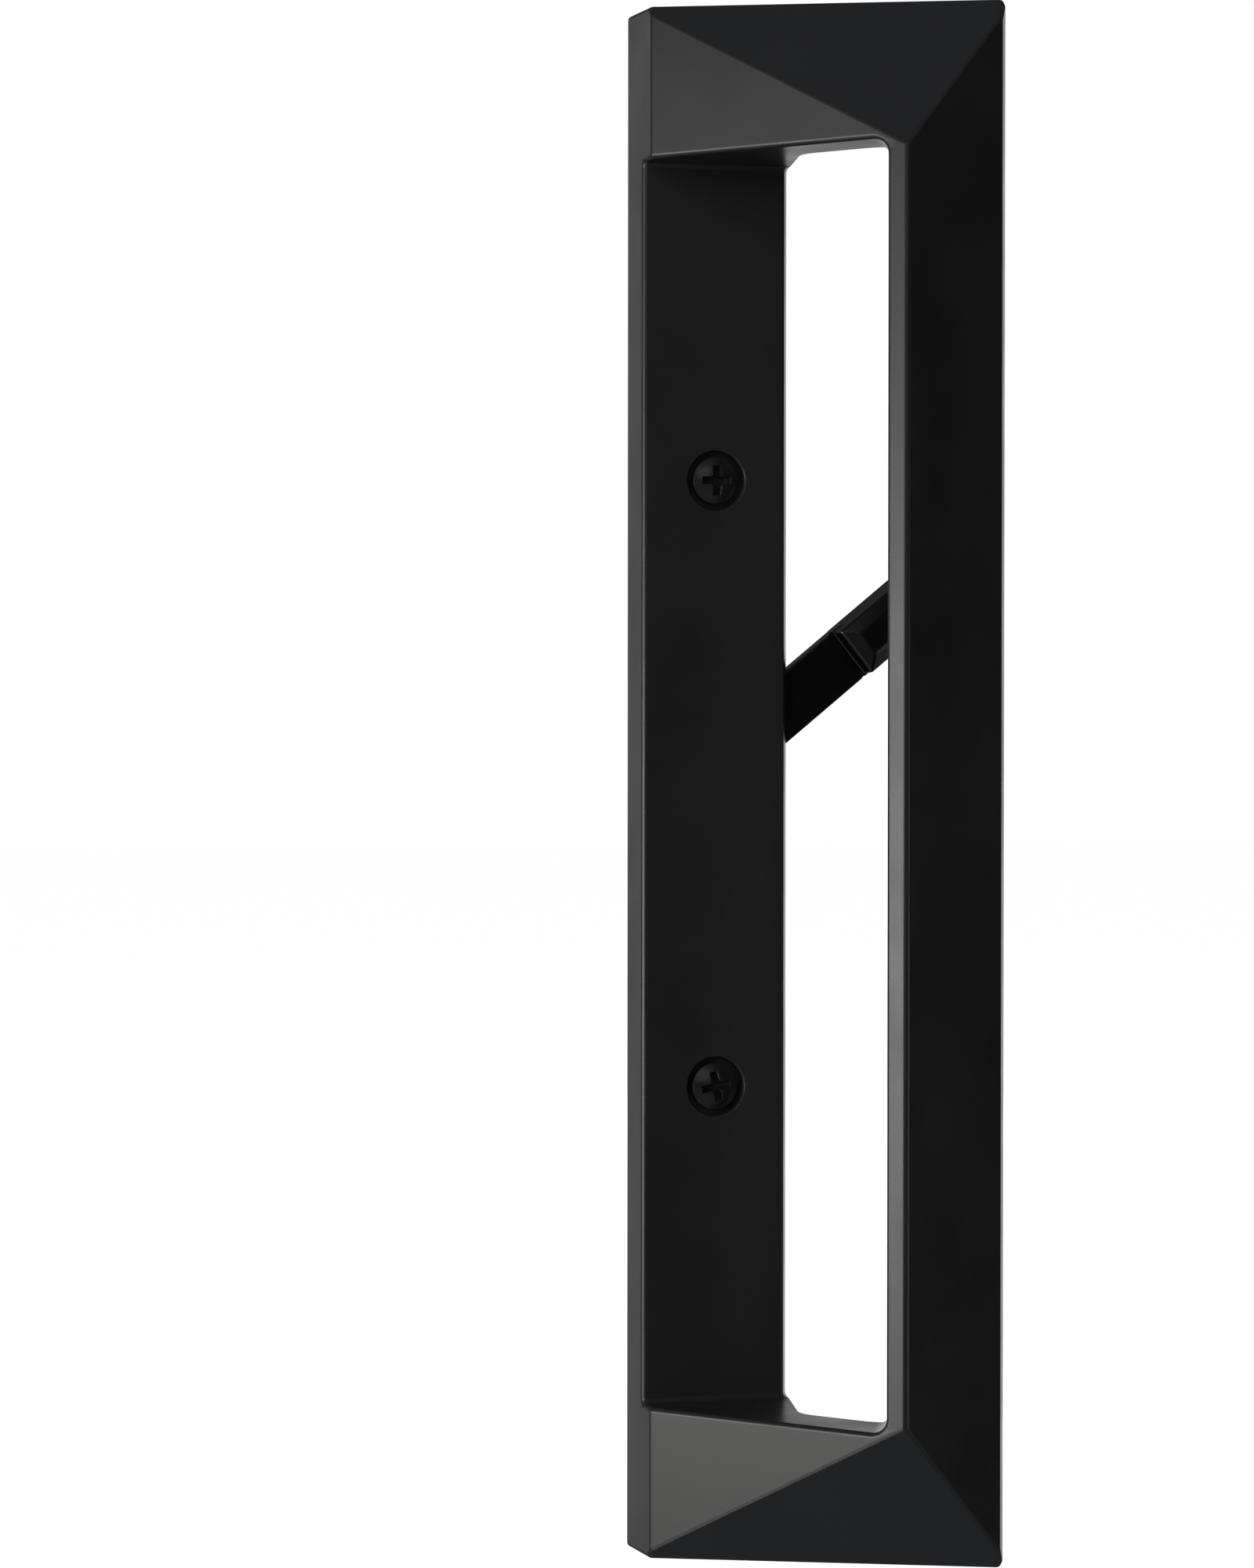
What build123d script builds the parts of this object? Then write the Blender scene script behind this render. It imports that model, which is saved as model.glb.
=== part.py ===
from build123d import *
import math
import os

# Inside pull of a sliding door: a faceted casting with an offset grip, and a thumb lever that turns the lock.
# X runs to the right, Y into the door and Z up, all in mm.
# The origin lies on the door face, midway between the two mounting screws.

# Overall form of the casting
HEIGHT = 254.0
OVERALL_WIDTH = 52.8
PLATE_WIDTH = 25.4
PLATE_DEPTH = 8.7
SIDE_DEPTH = 13.2
GRIP_SLOPE_WIDTH = 22.3
RIDGE_OUT = 52.4
RIDGE_SETBACK = 25.7
CORNER_DROP = 14.4

# Hollow behind the arms and the grip
SHELL = 9.8
FOOT_SETBACK = 3.6
FOOT_RADIUS = 6.0
HOLLOW_RADIUS = 5.0
HOLLOW_HIP_RADIUS = 2.0
GRIP_BACK_RADIUS = 2.0

# Window between the plate and the grip
END_HEIGHT = 25.0
WINDOW_DRAFT = 0.8
WINDOW_STRIP = 3.65
WINDOW_CORNER = 2.5
WINDOW_FLOOR_RADIUS = 1.0
WINDOW_LIP = 0.8

# Rounded edges of the casting
EDGE_RADIUS = 0.9
SIDE_BEVEL_IN = 1.3
SIDE_BEVEL_DROP = 1.4
HIP_RADIUS = 0.8
TIP_DROP = 1.4
PLATE_BEVEL_IN = 1.05
PLATE_BEVEL_DROP = 2.0
PLATE_EDGE = 0.8

# Walls and cores on the door side
FRONT_WALL = 2.1
SIDE_WALL = 2.6
CORE_END_WALL = 5.0
CORE_RADIUS = 1.5
END_WALL = 3.0
END_CORE_OUT = 22.0
END_CORE_START = 2.5
END_CORE_LENGTH = 12.0

# Mounting screws and their seats
SCREW_SPACING = 100.0
SCREW_RADIUS = 2.08
SCREW_LENGTH = 38.0
SCREW_HOLE_GAP = 0.22
SCREW_NECK_RADIUS = 1.85
SCREW_POINT = 0.6
SCREW_HEAD_RADIUS = 3.85
SCREW_HEAD_HEIGHT = 2.9
SCREW_RIM = 1.8
SCREW_TURN = 12.0
SEAT_RADIUS = 4.85
SEAT_DEPTH = 2.3
SEAT_LIP = 0.3
BOSS_WALL = 2.4
RECESS_SPAN = 5.3
RECESS_WIDTH = 1.35
RECESS_DEPTH = 2.1
RECESS_TAPER = 10.0
RECESS_LIFT = 0.2

# Latch lever
PIVOT_UP = 2.1
LEVER_REST = 39.0
LEVER_SWING = 78.0
LEVER_THICK = 3.0
ARM_WIDTH = 9.4
HUB_RADIUS = 7.2
PAD_START = 30.9
PAD_END = 46.5
PAD_WIDTH = 9.4
PAD_RAISE = 3.0
PAD_BEVEL_RISE = 1.1
PAD_BEVEL_IN = 2.5
PAD_DRAFT = 3.0
PAD_GROOVE = 0.7
PAD_GROOVE_DEPTH = 0.8
PAD_EDGE = 0.25
LEVER_EDGE = 0.3
SLOT_GAP = 0.6

# Pivot, bush, spring and retainer
PIN_RADIUS = 2.5
BUSH_WALL = 1.0
BUSH_FLANGE_RADIUS = 6.0
BUSH_FLANGE = 0.5
BUSH_LENGTH = 2.6
RUN_GAP = 0.05
BORE_FLOOR_GAP = 0.15
COLLAR_RADIUS = 4.5
COLLAR_BEHIND_DOOR = 2.5
SPRING_THICK = 0.4
SPRING_HEIGHT = 0.95
SPRING_RADIUS = 7.0
SPRING_BORE_GAP = 0.2
RETAINER_THICK = 1.0
RETAINER_WIDTH = 17.0
RETAINER_HEIGHT = 44.0
RETAINER_CORNER = 3.0
RETAINER_PITCH = 36.0
RETAINER_BOSS_RADIUS = 3.2
RETAINER_HOLE_GAP = 0.15
SMALL_SCREW_RADIUS = 1.25
SMALL_SCREW_LENGTH = 4.6
SMALL_HEAD_RADIUS = 2.3
SMALL_HEAD_HEIGHT = 1.0
SMALL_RECESS_SPAN = 2.6
SMALL_RECESS_WIDTH = 0.6
SMALL_RECESS_DEPTH = 0.6
THREAD_GAP = 0.02
HOLE_END_GAP = 0.3

# Tailpiece
BLADE_WIDTH = 6.4
BLADE_THICK = 1.6
BLADE_BEHIND_DOOR = 25.0
BLADE_IN_COLLAR = 4.4
BLADE_POINT = 1.2

# Positions that follow from the sizes
LEFT = -PLATE_WIDTH / 2
RIGHT = PLATE_WIDTH / 2
RIDGE_IN = round(OVERALL_WIDTH - GRIP_SLOPE_WIDTH, 6)
CORNER_OUT = round(RIDGE_OUT - CORNER_DROP, 6)
FOOT_IN = round(PLATE_WIDTH - FOOT_SETBACK, 6)
HALF = HEIGHT / 2
RIDGE_HALF = HALF - RIDGE_SETBACK
WINDOW_HALF = HALF - END_HEIGHT
CORE_HALF = WINDOW_HALF - CORE_END_WALL
CORE_DEPTH = PLATE_DEPTH - FRONT_WALL
SEAT_Y = SEAT_DEPTH - PLATE_DEPTH
LEVER_FRONT = -CORE_DEPTH + BUSH_FLANGE + RUN_GAP
LEVER_BACK = LEVER_FRONT + LEVER_THICK
RETAINER_FRONT = LEVER_BACK + SPRING_HEIGHT
RETAINER_BACK = RETAINER_FRONT + RETAINER_THICK


def plan(inward, outward):
    """A point in plan, measured from the left wall and out from the door."""
    return (LEFT + inward, -outward)


def rod(x, z, radius, start, end):
    """A round bar along Y between two depths."""
    bar = Cylinder(radius, end - start, align=(Align.CENTER, Align.CENTER, Align.MIN))
    return Pos(x, start, z) * Rot(-90, 0, 0) * bar


def block(x, z, width, height, start, end):
    """A box centred on x and z, between two depths."""
    return Pos(x, (start + end) / 2, z) * Box(width, end - start, height)


def near(items, x, y):
    """Sorts edges or points by how close they lie to a point in plan."""
    return sorted(items, key=lambda item: math.hypot(item.center().X - x, item.center().Y - y))


def unit(run, rise):
    """A direction in plan, one mm long."""
    length = math.hypot(run, rise)
    return run / length, rise / length


def crossing(first, first_way, second, second_way):
    """Where two lines in plan meet."""
    spread = first_way[0] * second_way[1] - first_way[1] * second_way[0]
    gap = (second[0] - first[0], second[1] - first[1])
    step = (gap[0] * second_way[1] - gap[1] * second_way[0]) / spread
    return first[0] + step * first_way[0], first[1] + step * first_way[1]


LEFT_WAY = unit(RIDGE_IN, RIDGE_OUT - SIDE_DEPTH)
RIGHT_WAY = unit(OVERALL_WIDTH - RIDGE_IN, CORNER_OUT - RIDGE_OUT)
LEFT_INNER = (SHELL * LEFT_WAY[1], SIDE_DEPTH - SHELL * LEFT_WAY[0])
RIGHT_INNER = (RIDGE_IN + SHELL * RIGHT_WAY[1], RIDGE_OUT - SHELL * RIGHT_WAY[0])
HOLLOW_IN, HOLLOW_OUT = crossing(LEFT_INNER, LEFT_WAY, RIGHT_INNER, RIGHT_WAY)
FOOT_OUT = crossing(LEFT_INNER, LEFT_WAY, (FOOT_IN, 0), (0, 1))[1]
GRIP_BACK_OUT = crossing(RIGHT_INNER, RIGHT_WAY, (OVERALL_WIDTH, 0), (0, 1))[1]
EDGE_IN = RIDGE_IN - WINDOW_STRIP * LEFT_WAY[0]
EDGE_OUT = RIDGE_OUT - WINDOW_STRIP * LEFT_WAY[1]


def sloping(shape):
    """The faces of a shape that lean, neither upright nor level."""
    return [face for face in shape.faces() if 0.1 < abs(face.normal_at().Z) < 0.9]


def rounded(points, radii):
    """A closed outline in plan with some of its corners rounded."""
    face = make_face(Polyline(*[plan(*point) for point in points], close=True))
    for point, radius in radii:
        x, y = plan(*point)
        face = fillet(near(face.vertices(), x, y)[0], radius)
    return face


def hip_cutter(inset):
    """Everything in front of the upper hip facet, or of a plane set back from it."""
    left = Vector(*plan(0, SIDE_DEPTH), HALF - TIP_DROP)
    right = Vector(*plan(OVERALL_WIDTH, CORNER_OUT), HALF - TIP_DROP)
    peak = Vector(*plan(RIDGE_IN, RIDGE_OUT), RIDGE_HALF)
    normal = (right - left).cross(peak - left).normalized()
    if normal.Z < 0:
        normal = normal * -1
    facet = Plane(origin=left - normal * inset, x_dir=right - left, z_dir=normal)
    return facet * Box(500, 500, 200, align=(Align.CENTER, Align.CENTER, Align.MIN))


def hull():
    """The outer form with its ridge and hip facets, before anything is cut from it."""
    ridge = (RIDGE_IN, RIDGE_OUT)
    slope_end = CORNER_OUT - SIDE_BEVEL_IN * RIGHT_WAY[1] / RIGHT_WAY[0]
    bevel = [(OVERALL_WIDTH - SIDE_BEVEL_IN, slope_end), (OVERALL_WIDTH, CORNER_OUT - SIDE_BEVEL_DROP)]
    corners = [(0, 0), (0, SIDE_DEPTH), ridge] + bevel + [(OVERALL_WIDTH, 0)]
    profile = rounded(corners, [(corner, EDGE_RADIUS) for corner in corners[1:5]])
    body = extrude(profile, amount=HALF, both=True)
    cutter = hip_cutter(0)
    body = body - cutter
    body = body - mirror(cutter, about=Plane.XY)
    edges = [edge for face in sloping(body) for edge in face.edges()]
    tops = [edge for edge in body.edges() if abs(abs(edge.center().Z) - HALF) < 0.01]
    sides = [edge for edge in tops if abs(edge.tangent_at(0.5).Y) > 0.99]
    return fillet(edges + sides, HIP_RADIUS)


def hollow():
    """The finger space behind the arms and the grip, open at the right and towards the door."""
    outer = OVERALL_WIDTH + 5
    edge_out = GRIP_BACK_OUT + 3 * GRIP_BACK_RADIUS
    corners = [
        (PLATE_WIDTH, -5),
        (PLATE_WIDTH, PLATE_DEPTH),
        (FOOT_IN, FOOT_OUT),
        (HOLLOW_IN, HOLLOW_OUT),
        (OVERALL_WIDTH, GRIP_BACK_OUT),
        (OVERALL_WIDTH, edge_out),
        (outer, edge_out),
        (outer, -5),
    ]
    radii = [(corners[2], FOOT_RADIUS), (corners[3], HOLLOW_RADIUS), (corners[4], GRIP_BACK_RADIUS)]
    space = extrude(rounded(corners, radii), amount=HEIGHT, both=True)
    cutter = hip_cutter(SHELL)
    space = space - cutter
    space = space - mirror(cutter, about=Plane.XY)
    edges = [edge for face in sloping(space) for edge in face.edges()]
    edges = [edge for edge in edges if edge.center().X > LEFT + FOOT_IN]
    edges = [edge for edge in edges if edge.center().Y < -GRIP_BACK_OUT - 3]
    return fillet(edges, HOLLOW_HIP_RADIUS)


def window():
    """The opening before and beside the plate, with its draft, rounded corners and the plate's bevel."""
    run_in = (HOLLOW_IN - EDGE_IN) / (EDGE_OUT - HOLLOW_OUT)
    far = RIDGE_OUT + 6
    far_in = EDGE_IN - run_in * (far - EDGE_OUT)
    outer = OVERALL_WIDTH + 5
    outer_out = crossing(RIGHT_INNER, RIGHT_WAY, (outer, 0), (0, 1))[1]
    back_corner = (HOLLOW_IN, HOLLOW_OUT)
    plate_edge = (PLATE_WIDTH - PLATE_BEVEL_IN, PLATE_DEPTH)
    bevel_end = crossing(plate_edge, (PLATE_BEVEL_IN, -PLATE_BEVEL_DROP), (0, -5), (1, 0))
    plate_side = [(-10, PLATE_DEPTH), plate_edge, bevel_end, (outer, -5), (outer, outer_out)]
    corners = plate_side + [back_corner, (far_in, far), (-10, far)]
    radii = [(plate_edge, PLATE_EDGE), (back_corner, GRIP_BACK_RADIUS)]
    prism = extrude(rounded(corners, radii), amount=HALF, both=True)
    lean = math.tan(math.radians(WINDOW_DRAFT))
    wide = WINDOW_HALF + lean * (far - PLATE_DEPTH)
    narrow = WINDOW_HALF - lean * (PLATE_DEPTH + 5)
    side = Polyline((5, -narrow), (5, narrow), (-far, wide), (-far, -wide), close=True)
    space = prism & extrude(Plane.YZ * make_face(side), amount=200, both=True)
    ends = [edge for edge in space.edges() if abs(edge.center().Z) > WINDOW_HALF - 1]
    x, y = plan((far_in + HOLLOW_IN) / 2, (far + HOLLOW_OUT) / 2)
    space = fillet(near(ends, x, y)[:2], WINDOW_CORNER)
    floor = [edge for edge in space.edges() if abs(edge.center().Z) > WINDOW_HALF - 1]
    floor = [edge for edge in floor if abs(edge.center().Y + PLATE_DEPTH) < 0.01]
    return fillet(floor, WINDOW_FLOOR_RADIUS)


def plate_core():
    """The space behind the plate, left solid round the mounting screws."""
    width = PLATE_WIDTH - 2 * SIDE_WALL
    core = extrude(Plane.XZ * RectangleRounded(width, 2 * CORE_HALF, CORE_RADIUS), amount=CORE_DEPTH)
    for side in (1, -1):
        core = core - rod(0, side * SCREW_SPACING / 2, SEAT_RADIUS + BOSS_WALL, -CORE_DEPTH, 1)
    return core


def end_core():
    """The space behind one end, which follows the left slope."""
    wall_out = SIDE_DEPTH + (END_WALL * LEFT_WAY[1] - END_WALL) / LEFT_WAY[0]
    slope_in = END_WALL + (END_CORE_OUT - wall_out) * LEFT_WAY[0] / LEFT_WAY[1]
    corners = [
        (END_WALL, -1),
        (END_WALL, wall_out),
        (slope_in, END_CORE_OUT),
        (FOOT_IN - END_WALL, END_CORE_OUT),
        (FOOT_IN - END_WALL, -1),
    ]
    profile = rounded(corners, [(corner, CORE_RADIUS) for corner in corners[1:4]])
    return Pos(0, 0, WINDOW_HALF + END_CORE_START) * extrude(profile, amount=END_CORE_LENGTH)


def lever_slot():
    """The way out for the lever through the right wall of the plate, from its top to its bottom position."""
    reach_up = RIGHT * math.tan(math.radians(LEVER_REST))
    reach_down = RIGHT * math.tan(math.radians(LEVER_SWING - LEVER_REST))
    spread = ARM_WIDTH / 2 / math.cos(math.radians(max(LEVER_REST, LEVER_SWING - LEVER_REST))) + SLOT_GAP
    middle = PIVOT_UP + (reach_up - reach_down) / 2
    height = reach_up + reach_down + 2 * spread
    return block(RIGHT - SIDE_WALL / 2, middle, SIDE_WALL + 2, height, -CORE_DEPTH, 1)


def screw_seat(z):
    """The counterbore and the hole for one mounting screw."""
    seat = rod(0, z, SEAT_RADIUS, -PLATE_DEPTH - 1, SEAT_Y)
    return seat + rod(0, z, SCREW_RADIUS + SCREW_HOLE_GAP, SEAT_Y - 1, 1)


def handle_casting():
    """The whole pull in one casting: plate, arms and grip, cored from the door side."""
    body = hull() - hollow() - window()
    long_edges = [edge for edge in body.edges() if edge.length > WINDOW_HALF]
    body = fillet(near(long_edges, LEFT, -PLATE_DEPTH)[0], WINDOW_LIP)
    for side in (1, -1):
        body = body - screw_seat(side * SCREW_SPACING / 2)
    rims = [edge for edge in body.edges() if edge.geom_type == GeomType.CIRCLE]
    rims = [edge for edge in rims if abs(edge.radius - SEAT_RADIUS) < 0.01]
    rims = [edge for edge in rims if abs(edge.center().Y + PLATE_DEPTH) < 0.01]
    body = chamfer(rims, SEAT_LIP)
    body = body - plate_core() - lever_slot()
    body = body - end_core() - mirror(end_core(), about=Plane.XY)
    body = body + rod(0, PIVOT_UP, PIN_RADIUS, -CORE_DEPTH, BUSH_LENGTH - CORE_DEPTH)
    for side in (1, -1):
        z = PIVOT_UP + side * RETAINER_PITCH / 2
        hole_front = RETAINER_BACK - SMALL_SCREW_LENGTH - HOLE_END_GAP
        body = body + rod(0, z, RETAINER_BOSS_RADIUS, -CORE_DEPTH, RETAINER_FRONT)
        body = body - rod(0, z, SMALL_SCREW_RADIUS + THREAD_GAP, hole_front, RETAINER_FRONT)
    return body


def lever_turn(shape):
    """Puts a shape drawn with the arm level on the pivot, with the arm raised to its rest position."""
    return Pos(0, 0, PIVOT_UP) * Rot(0, -LEVER_REST, 0) * shape


def latch_lever():
    """Hub, flat arm and bevelled thumb pad, with the collar that holds the tailpiece."""
    arm = block(PAD_START / 2 + 1, 0, PAD_START + 2, ARM_WIDTH, LEVER_FRONT, LEVER_BACK)
    pad_middle = (PAD_START + PAD_END) / 2
    pad_length = PAD_END - PAD_START
    rim_y = LEVER_FRONT - PAD_RAISE
    foot = Plane.XZ.offset(-LEVER_BACK) * Pos(pad_middle, 0) * Rectangle(pad_length, PAD_WIDTH)
    pad = extrude(foot, amount=LEVER_BACK - rim_y, taper=PAD_DRAFT)
    drawn_in = 2 * (LEVER_BACK - rim_y) * math.tan(math.radians(PAD_DRAFT))
    rim_size = (pad_length - drawn_in, PAD_WIDTH - drawn_in)
    top_size = (rim_size[0] - 2 * PAD_BEVEL_IN, rim_size[1] - 2 * PAD_BEVEL_IN)
    rim = Plane.XZ.offset(-rim_y) * Pos(pad_middle, 0) * Rectangle(*rim_size)
    top = Plane.XZ.offset(PAD_BEVEL_RISE - rim_y) * Pos(pad_middle, 0) * Rectangle(*top_size)
    pad = pad + loft([rim, top])
    pad = chamfer([edge for edge in pad.edges() if edge.center().Y < LEVER_BACK - 0.01], PAD_EDGE)
    groove_floor = LEVER_FRONT + PAD_GROOVE_DEPTH
    groove = block(PAD_START - PAD_GROOVE / 2, 0, PAD_GROOVE, 2 * ARM_WIDTH, LEVER_FRONT - 1, groove_floor)
    lever = fillet(arm.edges().filter_by(Axis.X), LEVER_EDGE) - groove + pad
    lever = lever + rod(0, 0, HUB_RADIUS, LEVER_FRONT, LEVER_BACK)
    lever = lever + rod(0, 0, COLLAR_RADIUS, LEVER_BACK, COLLAR_BEHIND_DOOR)
    bore_floor = BUSH_LENGTH - CORE_DEPTH + BORE_FLOOR_GAP
    lever = lever - rod(0, 0, PIN_RADIUS + BUSH_WALL + RUN_GAP, LEVER_FRONT - 1, bore_floor)
    slot_front = COLLAR_BEHIND_DOOR - BLADE_IN_COLLAR
    lever = lever - block(0, 0, BLADE_WIDTH, BLADE_THICK, slot_front, COLLAR_BEHIND_DOOR + 1)
    return lever_turn(lever)


def pivot_bush():
    """Flanged bush pressed on the casting's pin."""
    bush = rod(0, PIVOT_UP, BUSH_FLANGE_RADIUS, -CORE_DEPTH, BUSH_FLANGE - CORE_DEPTH)
    bush = bush + rod(0, PIVOT_UP, PIN_RADIUS + BUSH_WALL, -CORE_DEPTH, BUSH_LENGTH - CORE_DEPTH)
    return bush - rod(0, PIVOT_UP, PIN_RADIUS, -CORE_DEPTH - 1, BUSH_LENGTH - CORE_DEPTH + 1)


def spring_washer():
    """Cone washer between the lever's hub and the retainer plate."""
    inner = COLLAR_RADIUS + SPRING_BORE_GAP
    section = Polyline(
        (inner, 0),
        (inner, SPRING_THICK),
        (SPRING_RADIUS, SPRING_HEIGHT),
        (SPRING_RADIUS, SPRING_HEIGHT - SPRING_THICK),
        close=True,
    )
    washer = revolve(Plane.XZ * make_face(section), Axis.Z)
    return Pos(0, LEVER_BACK, PIVOT_UP) * Rot(-90, 0, 0) * washer


def retainer_plate():
    """Steel plate that keeps the lever in the casting."""
    blank = Plane.XZ.offset(-RETAINER_BACK) * Pos(0, PIVOT_UP)
    outline = RectangleRounded(RETAINER_WIDTH, RETAINER_HEIGHT, RETAINER_CORNER)
    plate = extrude(blank * outline, amount=RETAINER_THICK)
    plate = plate - rod(0, PIVOT_UP, COLLAR_RADIUS + RUN_GAP, RETAINER_FRONT - 1, RETAINER_BACK + 1)
    for side in (1, -1):
        z = PIVOT_UP + side * RETAINER_PITCH / 2
        hole = SMALL_SCREW_RADIUS + RETAINER_HOLE_GAP
        plate = plate - rod(0, z, hole, RETAINER_FRONT - 1, RETAINER_BACK + 1)
    return plate


def cross_recess(span, width, depth):
    """The cross-shaped recess in a screw head, cut down from zero."""
    arm = extrude(Rectangle(span, width), amount=-depth, taper=RECESS_TAPER)
    return arm + extrude(Rectangle(width, span), amount=-depth, taper=RECESS_TAPER)


def retainer_screws():
    """The two small screws that hold the retainer plate, entered from the door side."""
    base = (Align.CENTER, Align.CENTER, Align.MIN)
    head = Cylinder(SMALL_HEAD_RADIUS, SMALL_HEAD_HEIGHT, align=base)
    rim = head.faces().sort_by(Axis.Z)[-1].edges()
    head = chamfer(rim, SMALL_HEAD_HEIGHT / 2)
    recess = cross_recess(SMALL_RECESS_SPAN, SMALL_RECESS_WIDTH, SMALL_RECESS_DEPTH + RECESS_LIFT)
    head = head - Pos(0, 0, SMALL_HEAD_HEIGHT + RECESS_LIFT) * recess
    shank = Pos(0, 0, -SMALL_SCREW_LENGTH) * Cylinder(SMALL_SCREW_RADIUS, SMALL_SCREW_LENGTH, align=base)
    screw = Rot(-90, 0, 0) * (head + shank)
    spots = [PIVOT_UP + side * RETAINER_PITCH / 2 for side in (1, -1)]
    return Compound([Pos(0, RETAINER_BACK, z) * screw for z in spots])


def mounting_screw(turn):
    """One pan-head screw, its head up Z and its seat at zero, with a plain neck as far as the door."""
    rise = SCREW_HEAD_HEIGHT - SCREW_RIM
    dome = (rise ** 2 + SCREW_HEAD_RADIUS ** 2) / (2 * rise)
    ball = Pos(0, 0, SCREW_HEAD_HEIGHT - dome) * Sphere(dome)
    base = (Align.CENTER, Align.CENTER, Align.MIN)
    head = ball & Cylinder(SCREW_HEAD_RADIUS, SCREW_HEAD_HEIGHT, align=base)
    recess = cross_recess(RECESS_SPAN, RECESS_WIDTH, RECESS_DEPTH + RECESS_LIFT)
    head = head - Pos(0, 0, SCREW_HEAD_HEIGHT + RECESS_LIFT) * recess
    hang = (Align.CENTER, Align.CENTER, Align.MAX)
    neck_length = -SEAT_Y
    neck = Cylinder(SCREW_NECK_RADIUS, neck_length, align=hang)
    shank = Cylinder(SCREW_RADIUS, SCREW_LENGTH - neck_length, align=hang)
    tip = shank.faces().sort_by(Axis.Z)[0].edges()
    shank = Pos(0, 0, -neck_length) * chamfer(tip, SCREW_POINT)
    return Rot(0, 0, turn) * (head + neck + shank)


def mounting_screws():
    """The two screws that go through the plate into the door."""
    upper = Pos(0, SEAT_Y, SCREW_SPACING / 2) * Rot(90, 0, 0) * mounting_screw(0)
    lower = Pos(0, SEAT_Y, -SCREW_SPACING / 2) * Rot(90, 0, 0) * mounting_screw(SCREW_TURN)
    return Compound([upper, lower])


def tailpiece():
    """The flat blade that turns with the lever and works the lock."""
    front = COLLAR_BEHIND_DOOR - BLADE_IN_COLLAR
    blade = block(0, 0, BLADE_WIDTH, BLADE_THICK, front, BLADE_BEHIND_DOOR)
    corners = blade.edges().filter_by(Axis.Z)
    corners = [edge for edge in corners if edge.center().Y > BLADE_BEHIND_DOOR - 0.01]
    return lever_turn(chamfer(corners, BLADE_POINT))


PIECES = {
    "handle_casting": handle_casting,
    "latch_lever": latch_lever,
    "pivot_bush": pivot_bush,
    "spring_washer": spring_washer,
    "retainer_plate": retainer_plate,
    "retainer_screws": retainer_screws,
    "mounting_screws": mounting_screws,
    "tailpiece": tailpiece,
}

os.makedirs("parts", exist_ok=True)
for name, make in PIECES.items():
    piece = make()
    export_step(piece, f"parts/{name}.step")
    print(name, round(piece.volume / 1000, 3), "cm3", len(piece.solids()), "solids")
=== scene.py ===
# %% [markdown]
# This lesson dresses the inside pull of a sliding door: a faceted casting with an offset grip, a thumb
# lever and two sunk screws. The solids come from the drawing, in metres, and stay where they are. Each
# step says what the piece is on the real handle, how it could be made, and why it is made this way here.

import bpy
import bmesh
import math
from mathutils import Euler, Matrix, Vector


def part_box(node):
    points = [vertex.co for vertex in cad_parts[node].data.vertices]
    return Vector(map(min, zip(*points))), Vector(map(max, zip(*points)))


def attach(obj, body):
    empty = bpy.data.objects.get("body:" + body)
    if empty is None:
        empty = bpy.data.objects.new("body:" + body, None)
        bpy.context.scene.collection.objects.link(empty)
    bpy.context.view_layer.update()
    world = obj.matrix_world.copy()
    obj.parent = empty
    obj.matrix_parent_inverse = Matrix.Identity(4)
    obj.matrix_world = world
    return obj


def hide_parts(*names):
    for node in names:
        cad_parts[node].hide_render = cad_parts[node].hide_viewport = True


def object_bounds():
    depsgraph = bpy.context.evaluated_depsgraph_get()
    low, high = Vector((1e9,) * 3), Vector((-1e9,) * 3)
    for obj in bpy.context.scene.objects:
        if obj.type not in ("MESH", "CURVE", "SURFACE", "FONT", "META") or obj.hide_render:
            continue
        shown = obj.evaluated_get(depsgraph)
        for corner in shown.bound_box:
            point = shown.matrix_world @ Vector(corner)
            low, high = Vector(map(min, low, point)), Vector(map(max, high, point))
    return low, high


scene = bpy.context.scene
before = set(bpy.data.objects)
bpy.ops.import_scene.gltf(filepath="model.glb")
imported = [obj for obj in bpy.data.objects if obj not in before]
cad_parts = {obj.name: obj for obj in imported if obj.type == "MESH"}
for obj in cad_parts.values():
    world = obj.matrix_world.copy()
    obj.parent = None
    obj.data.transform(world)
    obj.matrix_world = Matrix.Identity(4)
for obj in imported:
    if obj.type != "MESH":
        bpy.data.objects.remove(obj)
cad_low, cad_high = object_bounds()
print("solids", sorted(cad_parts))
print("box in mm", [round(1000 * size, 1) for size in cad_high - cad_low])

# %% [markdown]
# The camera stands a little to the left and just above the middle of the handle, about 0.83 m away, with
# a long lens. A camera further off would draw every edge the same height, but here the ridge and the
# right edge stand nearer than the plate, so they have to look a little taller. The focal length is given
# in pixels of a picture 1600 wide and 2000 high, whose long side takes the whole sensor.

# %% Camera
FOCAL_PIXELS = 6361
PICTURE_HEIGHT = 2000
SENSOR = 36.0
NEAREST_SEEN = 0.05
CAMERA_PLACE = (-0.24628, -0.79381, 0.01302)
LOOK_DOWN = 0.91
LOOK_RIGHT = 16.39
ROLL = 0.04
camera = bpy.data.objects.new("camera", bpy.data.cameras.new("camera"))
scene.collection.objects.link(camera)
camera.data.sensor_width = SENSOR
camera.data.lens = FOCAL_PIXELS / PICTURE_HEIGHT * SENSOR
camera.data.clip_start = NEAREST_SEEN
camera.location = CAMERA_PLACE
aim = Euler((math.radians(90 - LOOK_DOWN), 0, math.radians(-LOOK_RIGHT))).to_matrix()
camera.rotation_euler = (aim @ Matrix.Rotation(math.radians(ROLL), 3, "Z")).to_euler()
scene.camera = camera
scene.view_settings.view_transform = "Standard"
print("lens in mm", round(camera.data.lens, 1))

# %% [markdown]
# Every finish below is built from nodes. Two small helpers keep that readable: one adds a node and sets
# its own settings, and one opens an empty node group with named sockets. A group is worth having when
# several finishes share one effect, because the effect is then drawn once and each finish only gives its
# own values.

# %% Node helpers


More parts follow.
